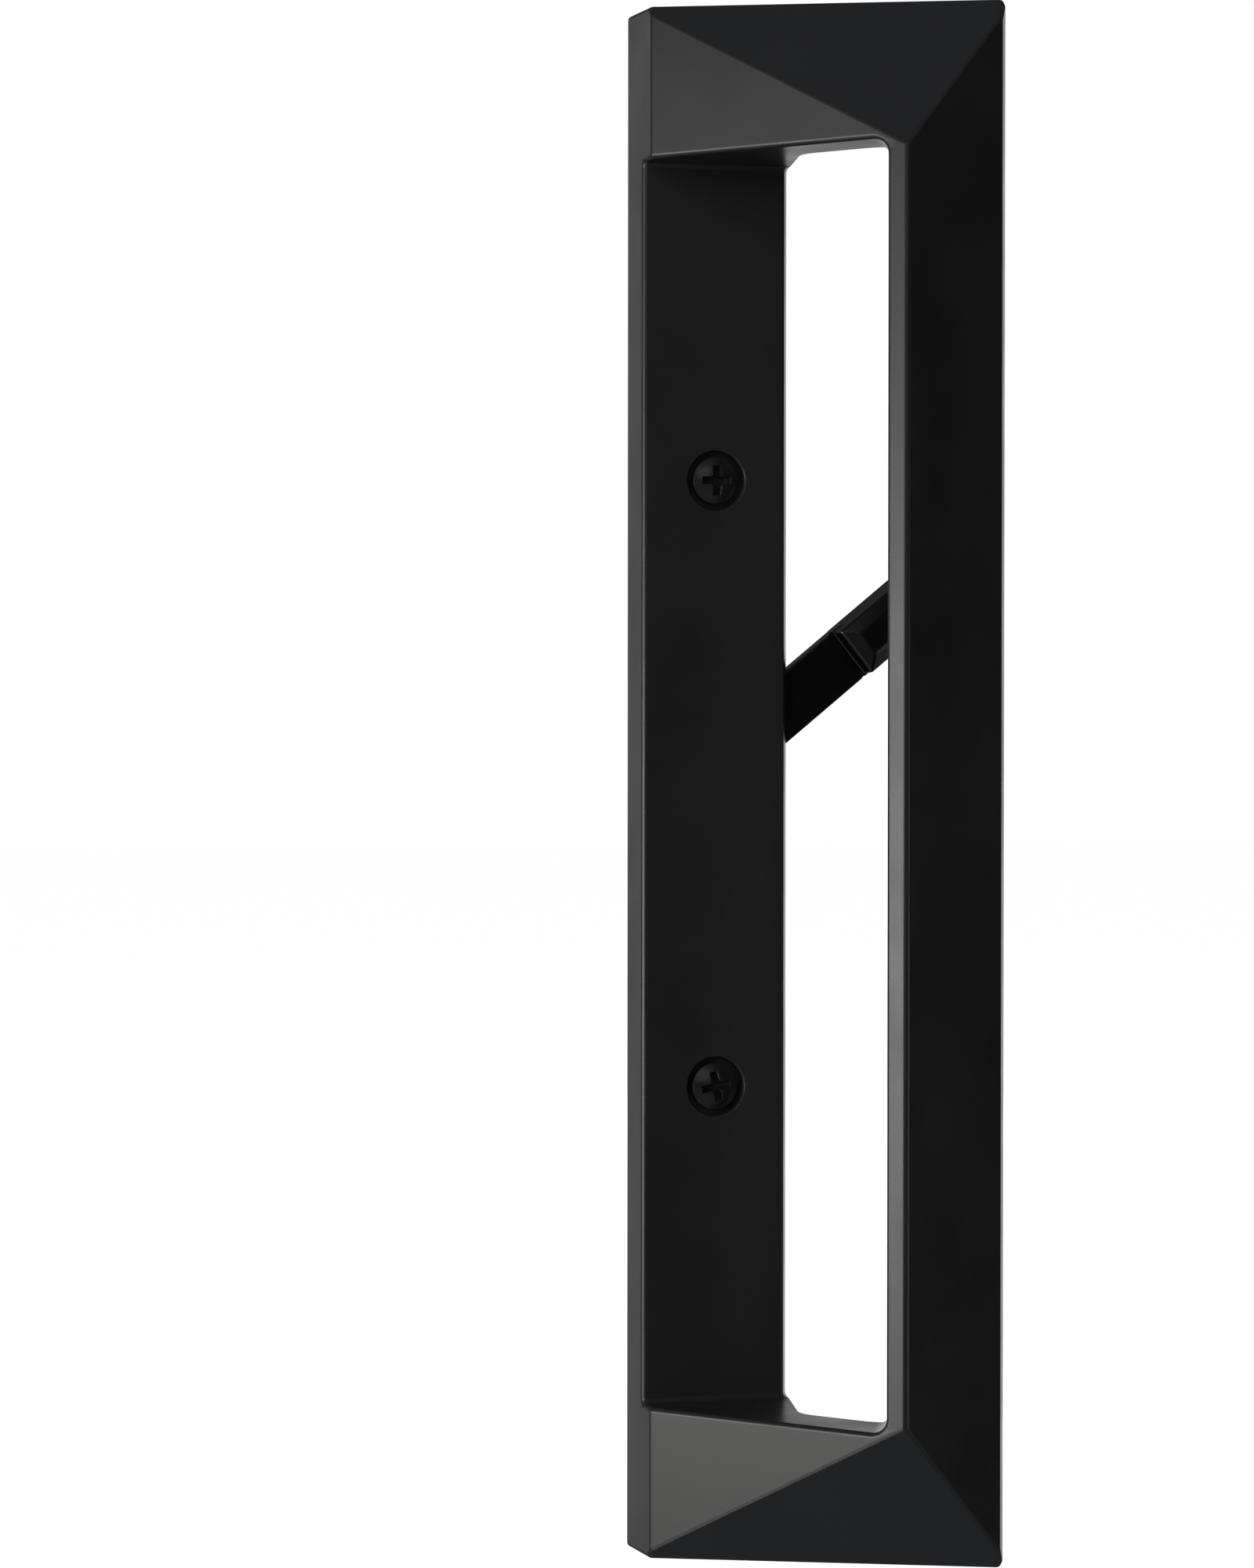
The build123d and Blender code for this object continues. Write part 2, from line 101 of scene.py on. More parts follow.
def put(tree, kind, **settings):
    """Adds one node to a tree and sets what isn't a socket."""
    made = tree.nodes.new(kind)
    for name, value in settings.items():
        setattr(made, name, value)
    return made


def open_group(name, kind, inputs, outputs):
    """Makes a node group with named sockets, and returns it with its two ends."""
    tree = bpy.data.node_groups.new(name, kind)
    for label, socket, value in inputs:
        made = tree.interface.new_socket(label, in_out="INPUT", socket_type=socket)
        if value is not None:
            made.default_value = value
    for label, socket in outputs:
        tree.interface.new_socket(label, in_out="OUTPUT", socket_type=socket)
    return tree, put(tree, "NodeGroupInput"), put(tree, "NodeGroupOutput")


# %% [markdown]
# Powder coat is sprayed on dry and melts in an oven, so it sets with a faint orange peel: soft dimples
# under a millimetre across, on a film whose gloss wanders slowly from place to place. A picture of such a
# surface could be wrapped on, but it would need an unwrapped mesh and would blur close up. Two noise
# textures on Object coordinates give the same at any distance: a fine one for the dimples and a coarse
# one for gloss and tone. Most of a noise lies between 0.3 and 0.7, so that span is what the gloss is
# stretched over.

# %% Powder coat group
FLOAT = "NodeSocketFloat"
COLOUR = "NodeSocketColor"
NOISE_LOW = 0.3
NOISE_HIGH = 0.7
peel, given, result = open_group(
    "powder_peel",
    "ShaderNodeTree",
    [
        ("Dimples per Metre", FLOAT, 1100.0),
        ("Clouds per Metre", FLOAT, 60.0),
        ("Smoothest", FLOAT, 0.26),
        ("Roughest", FLOAT, 0.36),
        ("Tone", COLOUR, (0.003, 0.003, 0.003, 1)),
        ("Cloud Tone", COLOUR, (0.005, 0.005, 0.005, 1)),
    ],
    [("Color", COLOUR), ("Roughness", FLOAT), ("Height", FLOAT)],
)
place = put(peel, "ShaderNodeTexCoord")
dimples = put(peel, "ShaderNodeTexNoise")
dimples.inputs["Detail"].default_value = 2.0
clouds = put(peel, "ShaderNodeTexNoise")
clouds.inputs["Detail"].default_value = 3.0
gloss = put(peel, "ShaderNodeMapRange")
gloss.inputs["From Min"].default_value = NOISE_LOW
gloss.inputs["From Max"].default_value = NOISE_HIGH
tone = put(peel, "ShaderNodeMix", data_type="RGBA")
peel.links.new(place.outputs["Object"], dimples.inputs["Vector"])
peel.links.new(place.outputs["Object"], clouds.inputs["Vector"])
peel.links.new(given.outputs["Dimples per Metre"], dimples.inputs["Scale"])
peel.links.new(given.outputs["Clouds per Metre"], clouds.inputs["Scale"])
peel.links.new(clouds.outputs["Fac"], gloss.inputs["Value"])
peel.links.new(given.outputs["Smoothest"], gloss.inputs["To Min"])
peel.links.new(given.outputs["Roughest"], gloss.inputs["To Max"])
peel.links.new(clouds.outputs["Fac"], tone.inputs["Factor"])
peel.links.new(given.outputs["Tone"], tone.inputs["A"])
peel.links.new(given.outputs["Cloud Tone"], tone.inputs["B"])
peel.links.new(tone.outputs["Result"], result.inputs["Color"])
peel.links.new(gloss.outputs["Result"], result.inputs["Roughness"])
peel.links.new(dimples.outputs["Fac"], result.inputs["Height"])
print("group", peel.name, "with", len(peel.nodes), "nodes")

# %% [markdown]
# Metal pieces that stay behind the plate are stamped and zinc plated, and the washer is oiled spring
# steel. Both show fine lines from rolling and a slight blotchiness. A wave texture would give lines too
# even for that, so a noise texture is stretched: its scale is small along the lines and large across
# them.

# %% Rolled metal group
SCALE_ALONG_LINES = 0.02
rolled, given, result = open_group(
    "rolled_metal",
    "ShaderNodeTree",
    [
        ("Lines per Metre", FLOAT, 6000.0),
        ("Blotches per Metre", FLOAT, 220.0),
        ("Smoothest", FLOAT, 0.25),
        ("Roughest", FLOAT, 0.45),
        ("Tone", COLOUR, (0.55, 0.56, 0.58, 1)),
        ("Blotch Tone", COLOUR, (0.66, 0.66, 0.64, 1)),
    ],
    [("Color", COLOUR), ("Roughness", FLOAT), ("Height", FLOAT)],
)
place = put(rolled, "ShaderNodeTexCoord")
stretch = put(rolled, "ShaderNodeMapping")
stretch.inputs["Scale"].default_value = (1.0, 1.0, SCALE_ALONG_LINES)
lines = put(rolled, "ShaderNodeTexNoise")
lines.inputs["Detail"].default_value = 2.0
blotches = put(rolled, "ShaderNodeTexNoise")
blotches.inputs["Detail"].default_value = 4.0
gloss = put(rolled, "ShaderNodeMapRange")
gloss.inputs["From Min"].default_value = NOISE_LOW
gloss.inputs["From Max"].default_value = NOISE_HIGH
tone = put(rolled, "ShaderNodeMix", data_type="RGBA")
rolled.links.new(place.outputs["Object"], stretch.inputs["Vector"])
rolled.links.new(stretch.outputs["Vector"], lines.inputs["Vector"])
rolled.links.new(place.outputs["Object"], blotches.inputs["Vector"])
rolled.links.new(given.outputs["Lines per Metre"], lines.inputs["Scale"])
rolled.links.new(given.outputs["Blotches per Metre"], blotches.inputs["Scale"])
rolled.links.new(blotches.outputs["Fac"], gloss.inputs["Value"])
rolled.links.new(given.outputs["Smoothest"], gloss.inputs["To Min"])
rolled.links.new(given.outputs["Roughest"], gloss.inputs["To Max"])
rolled.links.new(blotches.outputs["Fac"], tone.inputs["Factor"])
rolled.links.new(given.outputs["Tone"], tone.inputs["A"])
rolled.links.new(given.outputs["Blotch Tone"], tone.inputs["B"])
rolled.links.new(tone.outputs["Result"], result.inputs["Color"])
rolled.links.new(gloss.outputs["Result"], result.inputs["Roughness"])
rolled.links.new(lines.outputs["Fac"], result.inputs["Height"])
print("group", rolled.name, "with", len(rolled.nodes), "nodes")

# %% [markdown]
# A finish is one Principled shader fed by one of the two groups: colour and roughness go straight in, and
# the height goes through a Bump node. Values that are the same all over, such as metallic, sit on the
# shader. No coated edge is quite sharp, so a Bevel node can bend the light round the edges that the
# drawing leaves sharp: the groove of the lever, the screw seats and the recesses. Real bevels would need
# many small new faces there.

# %% Finish maker
EDGE_SAMPLES = 4


def finish_from(name, group, values, bump, depth, metallic=0.0, worn_edge=0.0):
    """Makes a material from one of the groups, with its own values."""
    made = bpy.data.materials.new(name)
    made.use_nodes = True
    tree = made.node_tree
    shader = tree.nodes["Principled BSDF"]
    shader.inputs["Metallic"].default_value = metallic
    source = put(tree, "ShaderNodeGroup", node_tree=group)
    for label, value in values.items():
        source.inputs[label].default_value = value
    raised = put(tree, "ShaderNodeBump")
    raised.inputs["Strength"].default_value = bump
    raised.inputs["Distance"].default_value = depth
    tree.links.new(source.outputs["Color"], shader.inputs["Base Color"])
    tree.links.new(source.outputs["Roughness"], shader.inputs["Roughness"])
    tree.links.new(source.outputs["Height"], raised.inputs["Height"])
    tree.links.new(raised.outputs["Normal"], shader.inputs["Normal"])
    if worn_edge:
        rounded = put(tree, "ShaderNodeBevel", samples=EDGE_SAMPLES)
        rounded.inputs["Radius"].default_value = worn_edge
        tree.links.new(rounded.outputs["Normal"], raised.inputs["Normal"])
    print("finish", name)
    return made


# %% Finishes
casting_coat = finish_from(
    "casting_black_coat",
    peel,
    {"Tone": (0.0076, 0.0076, 0.0080, 1), "Cloud Tone": (0.0096, 0.0096, 0.0098, 1)},
    bump=0.25,
    depth=0.00002,
    worn_edge=0.00025,
)
lever_coat = finish_from(
    "lever_black_coat",
    peel,
    {
        "Dimples per Metre": 1500.0,
        "Clouds per Metre": 120.0,
        "Smoothest": 0.18,
        "Roughest": 0.24,
        "Tone": (0.0014, 0.0014, 0.0017, 1),
        "Cloud Tone": (0.0022, 0.0022, 0.0026, 1),
    },
    bump=0.2,
    depth=0.000015,
    worn_edge=0.0003,
)
screw_black = finish_from(
    "screw_black_oxide",
    peel,
    {
        "Dimples per Metre": 2600.0,
        "Clouds per Metre": 500.0,
        "Smoothest": 0.18,
        "Roughest": 0.28,
        "Tone": (0.005, 0.005, 0.0055, 1),
        "Cloud Tone": (0.0075, 0.007, 0.007, 1),
    },
    bump=0.2,
    depth=0.00001,
    worn_edge=0.0002,
)
zinc = finish_from("zinc_plating", rolled, {}, bump=0.15, depth=0.00001, metallic=1.0)
spring = finish_from(
    "washer_spring_steel",
    rolled,
    {"Tone": (0.22, 0.23, 0.25, 1), "Blotch Tone": (0.32, 0.31, 0.30, 1)},
    bump=0.15,
    depth=0.00001,
    metallic=1.0,
)
nylon = finish_from(
    "natural_nylon",
    peel,
    {
        "Smoothest": 0.42,
        "Roughest": 0.55,
        "Tone": (0.74, 0.72, 0.66, 1),
        "Cloud Tone": (0.82, 0.80, 0.75, 1),
    },
    bump=0.1,
    depth=0.00001,
)

# %% [markdown]
# The casting is one piece of zinc alloy: plate, two sloping arms and the ridged grip. It could be
# modelled again from scratch, but its faces are exact in the drawing already. The drawing's mesh is loose
# triangles, so a copy is merged, shaded smooth, and given weighted normals: each corner then takes its
# direction from the large flat face beside it, so the flats stay flat and only the narrow rounded edges
# bend the light.

# %% Skin maker
SAME_POINT = 2e-6
FLAT_FACE_WEIGHT = 80


def dressed(mesh, name, finish, body):
    """Links a finished mesh as a piece that moves with a body."""
    piece = bpy.data.objects.new(name, mesh)
    scene.collection.objects.link(piece)
    mesh.materials.clear()
    mesh.materials.append(finish)
    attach(piece, body)
    print(name, len(mesh.polygons), "faces")
    return piece


def smoothed(mesh, sharp_over):
    """Shades a mesh smooth, apart from edges that turn by more than so many degrees."""
    work = bmesh.new()
    work.from_mesh(mesh)
    bmesh.ops.remove_doubles(work, verts=work.verts, dist=SAME_POINT)
    for face in work.faces:
        face.smooth = True
    for edge in work.edges:
        edge.smooth = edge.calc_face_angle(0.0) < math.radians(sharp_over)
    work.to_mesh(mesh)
    work.free()


def weighted(mesh, name):
    """Gives a mesh normals that follow its large faces, and returns the new mesh."""
    carrier = bpy.data.objects.new(name, mesh)
    scene.collection.objects.link(carrier)
    modifier = carrier.modifiers.new("flat faces", "WEIGHTED_NORMAL")
    modifier.keep_sharp = True
    modifier.weight = FLAT_FACE_WEIGHT
    seen = carrier.evaluated_get(bpy.context.evaluated_depsgraph_get())
    made = bpy.data.meshes.new_from_object(seen)
    bpy.data.objects.remove(carrier)
    made.name = name
    return made


def skin(node, name, finish, body, sharp_over):
    """A merged and smoothed copy of one solid, which stands for it."""
    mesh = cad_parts[node].data.copy()
    old_normals = mesh.attributes.get("custom_normal")
    if old_normals is not None:
        mesh.attributes.remove(old_normals)
    smoothed(mesh, sharp_over)
    piece = dressed(weighted(mesh, name), name, finish, body)
    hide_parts(node)


# %% Casting and lever
CASTING_SHARP_OVER = 50
LEVER_SHARP_OVER = 12
skin("handle_casting", "pull_casting", casting_coat, "handle", CASTING_SHARP_OVER)
skin("latch_lever", "thumb_lever", lever_coat, "lever", LEVER_SHARP_OVER)

# %% [markdown]
# Two pairs of screws share one shape with different sizes: a pan head with a cross recess, a plain neck
# and a threaded shank. Modelling each by hand would repeat the work four times, so a Geometry Nodes tree
# draws one screw from named sizes and stands it on two points. First come the small node helpers for
# arithmetic.

# %% Screw tree: sockets
VECTOR = "NodeSocketVector"
screw_tree, sizes, screw_out = open_group(
    "cross_head_screw",
    "GeometryNodeTree",
    [
        ("Head Radius", FLOAT, 0.00385),
        ("Head Height", FLOAT, 0.0029),
        ("Rim", FLOAT, 0.0018),
        ("Recess Span", FLOAT, 0.0053),
        ("Recess Width", FLOAT, 0.00135),
        ("Recess Depth", FLOAT, 0.0021),
        ("Neck Radius", FLOAT, 0.00185),
        ("Neck Length", FLOAT, 0.0064),
        ("Thread Radius", FLOAT, 0.00208),
        ("Thread Depth", FLOAT, 0.0004),
        ("Pitch", FLOAT, 0.0008),
        ("Length", FLOAT, 0.038),
        ("First Seat", VECTOR, (0, 0, 0)),
        ("Step", VECTOR, (0, 0, 0.1)),
        ("Tilt", FLOAT, math.pi / 2),
        ("Turn", FLOAT, 0.0),
        ("Finish", "NodeSocketMaterial", None),
    ],
    [("Screws", "NodeSocketGeometry")],
)


def maths(operation, first, second=None):
    """A Math node in the screw tree, fed by sockets or plain numbers."""
    made = put(screw_tree, "ShaderNodeMath", operation=operation)
    for slot_number, value in enumerate((first, second)):
        if isinstance(value, (int, float)):
            made.inputs[slot_number].default_value = value
        elif value is not None:
            screw_tree.links.new(value, made.inputs[slot_number])
    return made.outputs[0]


def vector_of(x=0.0, y=0.0, z=0.0):
    """A Combine XYZ node in the screw tree, fed by sockets or plain numbers."""
    made = put(screw_tree, "ShaderNodeCombineXYZ")
    for socket, value in zip(made.inputs, (x, y, z)):
        if isinstance(value, (int, float)):
            socket.default_value = value
        else:
            screw_tree.links.new(value, socket)
    return made.outputs[0]


def join(tree_node, **inputs):
    """Links sockets into a node's named inputs, or sets plain values on them."""
    for label, value in inputs.items():
        socket = tree_node.inputs[label.replace("_", " ")]
        if isinstance(value, bpy.types.NodeSocket):
            screw_tree.links.new(value, socket)
        else:
            socket.default_value = value
    return tree_node


# %% [markdown]
# The head starts as a cylinder as tall as the rim. The points of its top are then lifted onto a ball,
# whose radius follows from the head's height. The lift is zero at the rim, so the dome meets the side
# cleanly. A lathe of a curve could do it too, but it leaves a pole in the middle, where the recess is
# cut.

# %% Screw tree: domed head
HEAD_SIDES = 48
HEAD_RINGS = 8
head = put(screw_tree, "GeometryNodeMeshCylinder", fill_type="TRIANGLE_FAN")
join(head, Vertices=HEAD_SIDES, Side_Segments=1, Fill_Segments=HEAD_RINGS)
join(head, Radius=sizes.outputs["Head Radius"], Depth=sizes.outputs["Rim"])
head_up = put(screw_tree, "GeometryNodeTransform")
join(head_up, Geometry=head.outputs["Mesh"])
join(head_up, Translation=vector_of(z=maths("MULTIPLY", sizes.outputs["Rim"], 0.5)))
rise = maths("SUBTRACT", sizes.outputs["Head Height"], sizes.outputs["Rim"])
rise_twice = maths("MULTIPLY", rise, 2.0)
head_square = maths("POWER", sizes.outputs["Head Radius"], 2.0)
ball = maths("DIVIDE", maths("ADD", maths("POWER", rise, 2.0), head_square), rise_twice)
spot = put(screw_tree, "ShaderNodeSeparateXYZ")
screw_tree.links.new(put(screw_tree, "GeometryNodeInputPosition").outputs[0], spot.inputs[0])
across = maths("ADD", maths("POWER", spot.outputs[0], 2.0), maths("POWER", spot.outputs[1], 2.0))
level = maths("SQRT", maths("MAXIMUM", maths("SUBTRACT", maths("POWER", ball, 2.0), across), 0.0))
lift = maths("SUBTRACT", level, maths("SUBTRACT", ball, rise))
on_top = maths("GREATER_THAN", spot.outputs[2], maths("MULTIPLY", sizes.outputs["Rim"], 0.5))
domed = put(screw_tree, "GeometryNodeSetPosition")
join(domed, Geometry=head_up.outputs[0], Selection=on_top, Offset=vector_of(z=lift))

# %% [markdown]
# The recess is cut with two crossed blocks and a cone in their middle. All three narrow towards the
# bottom, as the driver's tip does, and have their full size level with the top of the head. The cut is a
# Boolean difference, which keeps the head one closed mesh.

# %% Screw tree: cross recess
RECESS_TAPER = 0.35
CONE_SIDES = 16
CONE_TOP = 1.3
CONE_BOTTOM = 0.45
tool = put(screw_tree, "GeometryNodeJoinGeometry")
tall = maths("MULTIPLY", sizes.outputs["Recess Depth"], 2.0)
height_share = maths("DIVIDE", spot.outputs[2], sizes.outputs["Recess Depth"])
widening = maths("MULTIPLY", height_share, RECESS_TAPER)
wider_x = maths("MULTIPLY", spot.outputs[0], widening)
wider_y = maths("MULTIPLY", spot.outputs[1], widening)
outwards = vector_of(wider_x, wider_y)
for along, over in (("Recess Span", "Recess Width"), ("Recess Width", "Recess Span")):
    wing = put(screw_tree, "GeometryNodeMeshCube")
    join(wing, Size=vector_of(sizes.outputs[along], sizes.outputs[over], tall))
    narrowed = put(screw_tree, "GeometryNodeSetPosition")
    join(narrowed, Geometry=wing.outputs["Mesh"], Offset=outwards)
    screw_tree.links.new(narrowed.outputs[0], tool.inputs[0])
middle = put(screw_tree, "GeometryNodeMeshCone", fill_type="NGON")
join(middle, Vertices=CONE_SIDES, Side_Segments=1, Depth=tall)
join(middle, Radius_Top=maths("MULTIPLY", sizes.outputs["Recess Width"], CONE_TOP))
join(middle, Radius_Bottom=maths("MULTIPLY", sizes.outputs["Recess Width"], CONE_BOTTOM))
middle_down = put(screw_tree, "GeometryNodeTransform")
join(middle_down, Geometry=middle.outputs["Mesh"])
join(middle_down, Translation=vector_of(z=maths("MULTIPLY", sizes.outputs["Recess Depth"], -1.0)))
screw_tree.links.new(middle_down.outputs[0], tool.inputs[0])
driver = put(screw_tree, "GeometryNodeTransform")
join(driver, Geometry=tool.outputs[0], Translation=vector_of(z=sizes.outputs["Head Height"]))
cut = put(screw_tree, "GeometryNodeMeshBoolean", operation="DIFFERENCE", solver="EXACT")
join(cut, Mesh_1=domed.outputs[0], Mesh_2=driver.outputs[0])
cut.inputs["Self Intersection"].default_value = True

# %% [markdown]
# The shank has a plain neck where it passes the plate, then a core with a thread wound round it. The
# thread is a spiral curve with a four-sided section swept along it. The section's corners point outwards
# and along the screw, so that each turn is a sharp ridge and the next one starts where it ends. A little
# over half a pitch stays bare at each end of the core.

# %% Screw tree: neck, core and thread
DEEP_IN_HEAD = 0.0003
SHANK_SIDES = 32
POINTS_PER_TURN = 18
SECTION_CORNERS = 4
BARE_PITCHES = 1.2
neck = put(screw_tree, "GeometryNodeMeshCylinder", fill_type="NGON")
neck_long = maths("ADD", sizes.outputs["Neck Length"], DEEP_IN_HEAD)
neck_middle = maths("SUBTRACT", DEEP_IN_HEAD, maths("MULTIPLY", neck_long, 0.5))
join(neck, Vertices=SHANK_SIDES, Radius=sizes.outputs["Neck Radius"], Depth=neck_long)
neck_down = put(screw_tree, "GeometryNodeTransform")
join(neck_down, Geometry=neck.outputs["Mesh"], Translation=vector_of(z=neck_middle))
core_radius = maths("SUBTRACT", sizes.outputs["Thread Radius"], sizes.outputs["Thread Depth"])
core_long = maths("SUBTRACT", sizes.outputs["Length"], sizes.outputs["Neck Length"])
core = put(screw_tree, "GeometryNodeMeshCone", fill_type="NGON")
join(core, Vertices=SHANK_SIDES, Side_Segments=1, Depth=core_long)
join(core, Radius_Top=core_radius, Radius_Bottom=core_radius)
core_down = put(screw_tree, "GeometryNodeTransform")
core_low = maths("MULTIPLY", sizes.outputs["Length"], -1.0)
join(core_down, Geometry=core.outputs["Mesh"], Translation=vector_of(z=core_low))
run = maths("SUBTRACT", core_long, maths("MULTIPLY", sizes.outputs["Pitch"], BARE_PITCHES))
winding = put(screw_tree, "GeometryNodeCurveSpiral")
join(winding, Resolution=POINTS_PER_TURN, Rotations=maths("DIVIDE", run, sizes.outputs["Pitch"]))
join(winding, Start_Radius=core_radius, End_Radius=core_radius, Height=run)
winding.inputs["Reverse"].default_value = False
upright = put(screw_tree, "GeometryNodeSetCurveNormal", mode="Z_UP")
join(upright, Curve=winding.outputs[0])
section = put(screw_tree, "GeometryNodeCurvePrimitiveCircle", mode="RADIUS")
join(section, Resolution=SECTION_CORNERS, Radius=sizes.outputs["Thread Depth"])
ridge = put(screw_tree, "GeometryNodeCurveToMesh")
join(ridge, Curve=upright.outputs[0], Profile_Curve=section.outputs[0], Fill_Caps=True)
ridge_down = put(screw_tree, "GeometryNodeTransform")
ridge_low = maths("ADD", core_low, maths("MULTIPLY", sizes.outputs["Pitch"], BARE_PITCHES / 2))
join(ridge_down, Geometry=ridge.outputs[0], Translation=vector_of(z=ridge_low))

# %% [markdown]
# Last, the whole screw is placed on two points, the second one turned a little further, because no two
# screws stop at the same angle. Real meshes are made of the instances and the finish is set at the end.

# %% Screw tree: pair and finish
whole = put(screw_tree, "GeometryNodeJoinGeometry")
for part in (cut.outputs["Mesh"], neck_down.outputs[0], core_down.outputs[0], ridge_down.outputs[0]):
    screw_tree.links.new(part, whole.inputs[0])
seats = put(screw_tree, "GeometryNodeMeshLine", mode="OFFSET")
join(seats, Count=2, Start_Location=sizes.outputs["First Seat"], Offset=sizes.outputs["Step"])
number = put(screw_tree, "GeometryNodeInputIndex").outputs[0]
spin = maths("MULTIPLY", maths("MULTIPLY", number, sizes.outputs["Turn"]), -1.0)
stood = put(screw_tree, "GeometryNodeInstanceOnPoints")
join(stood, Points=seats.outputs["Mesh"], Instance=whole.outputs[0])
join(stood, Rotation=vector_of(sizes.outputs["Tilt"], spin, 0.0))
real = put(screw_tree, "GeometryNodeRealizeInstances")
join(real, Geometry=stood.outputs[0])
coated = put(screw_tree, "GeometryNodeSetMaterial")
join(coated, Geometry=real.outputs[0], Material=sizes.outputs["Finish"])
screw_tree.links.new(coated.outputs[0], screw_out.inputs["Screws"])
print("screw tree with", len(screw_tree.nodes), "nodes")

# %% Screw pairs
SCREW_SHARP_OVER = 35


def screw_pair(name, node, finish, values):
    """Draws two screws with the tree and stands them where a solid of the drawing is."""
    carrier = bpy.data.objects.new(name + "_tree", bpy.data.meshes.new(name + "_tree"))
    scene.collection.objects.link(carrier)
    modifier = carrier.modifiers.new("screws", "NODES")
    modifier.node_group = screw_tree
    values = dict(values, Finish=finish)
    for item in screw_tree.interface.items_tree:
        if item.in_out == "INPUT" and item.name in values:
            modifier[item.identifier] = values[item.name]
    seen = carrier.evaluated_get(bpy.context.evaluated_depsgraph_get())
    mesh = bpy.data.meshes.new_from_object(seen)
    bpy.data.objects.remove(carrier)
    smoothed(mesh, SCREW_SHARP_OVER)
    piece = dressed(mesh, name, finish, "handle")
    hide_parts(node)


SCREW_SEAT_Y = -0.0064
SCREW_SPACING = 0.1
DOOR_SCREW_TURN = 12
screw_pair(
    "door_screw_pair",
    "mounting_screws",
    screw_black,
    {
        "First Seat": (0.0, SCREW_SEAT_Y, SCREW_SPACING / 2),
        "Step": (0.0, 0.0, -SCREW_SPACING),
        "Turn": math.radians(DOOR_SCREW_TURN),
    },
)

small_low, small_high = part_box("retainer_screws")
SMALL_HEAD_RADIUS = 0.0023
SMALL_HEAD_HEIGHT = 0.001
SMALL_SCREW_TURN = 31
small_seat_y = small_high.y - SMALL_HEAD_HEIGHT
screw_pair(
    "retainer_screw_pair",
    "retainer_screws",
    zinc,
    {
        "Head Radius": SMALL_HEAD_RADIUS,
        "Head Height": SMALL_HEAD_HEIGHT,
        "Rim": 0.0005,
        "Recess Span": 0.0026,
        "Recess Width": 0.0006,
        "Recess Depth": 0.0006,
        "Neck Radius": 0.00105,
        "Neck Length": 0.0008,
        "Thread Radius": 0.00125,
        "Thread Depth": 0.0002,
        "Pitch": 0.0004,
        "Length": 0.0046,
        "First Seat": (0.0, small_seat_y, small_high.z - SMALL_HEAD_RADIUS),
        "Step": (0.0, 0.0, small_low.z - small_high.z + 2 * SMALL_HEAD_RADIUS),
        "Tilt": -math.pi / 2,
        "Turn": math.radians(SMALL_SCREW_TURN),
    },
)

# %% [markdown]
# The pieces on the door side are simple turned and stamped shapes that the drawing gives in full:
# retainer plate, cone washer, bush and tailpiece. They keep the drawing's own meshes and only get their
# finishes.

# %% Pieces behind the plate
for node, finish in (
    ("retainer_plate", zinc),
    ("tailpiece", zinc),
    ("spring_washer", spring),
    ("pivot_bush", nylon),
):
    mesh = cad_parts[node].data
    mesh.materials.clear()
    mesh.materials.append(finish)
    print(node, "wears", finish.name)

# %% [markdown]
# The table and the room below are lit by sums and products of brightnesses. Two more helpers keep them
# short: a soft step along a direction, and a Math node that takes sockets or plain numbers.

# %% Brightness helpers


def ramp(tree, source, low, high, start, end):
    """A soft step in brightness along one direction."""
    made = put(tree, "ShaderNodeMapRange", interpolation_type="SMOOTHSTEP")
    tree.links.new(source, made.inputs["Value"])
    for label, value in (("From Min", low), ("From Max", high), ("To Min", start), ("To Max", end)):
        made.inputs[label].default_value = value
    return made.outputs["Result"]


def blend(tree, operation, first, second):
    """Adds, multiplies or compares two brightnesses."""
    made = put(tree, "ShaderNodeMath", operation=operation)
    for slot_number, value in enumerate((first, second)):
        if isinstance(value, (int, float)):
            made.inputs[slot_number].default_value = value
        else:
            tree.links.new(value, made.inputs[slot_number])
    return made.outputs[0]


# %% [markdown]
# The handle stands on its lower end on a white table. The camera and glass see white there, added to a
# grey lit surface that keeps the handle's shadow. Black paint mirrors what is round it, and a table would
# cut off the lower half of the lamps and the paper in it, so reflections and lamp light pass through the
# table.

# %% Table
TABLE_REACH = 4.0
table_mesh = bpy.data.meshes.new("table")
sides = ((-1, -1), (1, -1), (1, 1), (-1, 1))
corners = [(x * TABLE_REACH, y * TABLE_REACH, cad_low.z) for x, y in sides]
table_mesh.from_pydata(corners, [], [(0, 1, 2, 3)])
table = bpy.data.objects.new("table", table_mesh)
scene.collection.objects.link(table)
table.visible_glossy = False
table.visible_shadow = False
table_white = bpy.data.materials.new("table_white")
table_white.use_nodes = True
tree = table_white.node_tree
tree.nodes.remove(tree.nodes["Principled BSDF"])

# %% Table white
TABLE_GLOW = 0.97
TABLE_GREY = 0.22
rays = put(tree, "ShaderNodeLightPath")
seen = blend(tree, "MAXIMUM", rays.outputs["Is Camera Ray"], rays.outputs["Is Transmission Ray"])
glow = put(tree, "ShaderNodeEmission")
tree.links.new(blend(tree, "MULTIPLY", seen, TABLE_GLOW), glow.inputs["Strength"])
lit = put(tree, "ShaderNodeBsdfDiffuse")
lit.inputs["Color"].default_value = (TABLE_GREY, TABLE_GREY, TABLE_GREY, 1)
shown = put(tree, "ShaderNodeAddShader")
tree.links.new(glow.outputs[0], shown.inputs[0])
tree.links.new(lit.outputs[0], shown.inputs[1])
tree.links.new(shown.outputs[0], tree.nodes["Material Output"].inputs["Surface"])
table_mesh.materials.append(table_white)
print("table at", round(cad_low.z, 3))

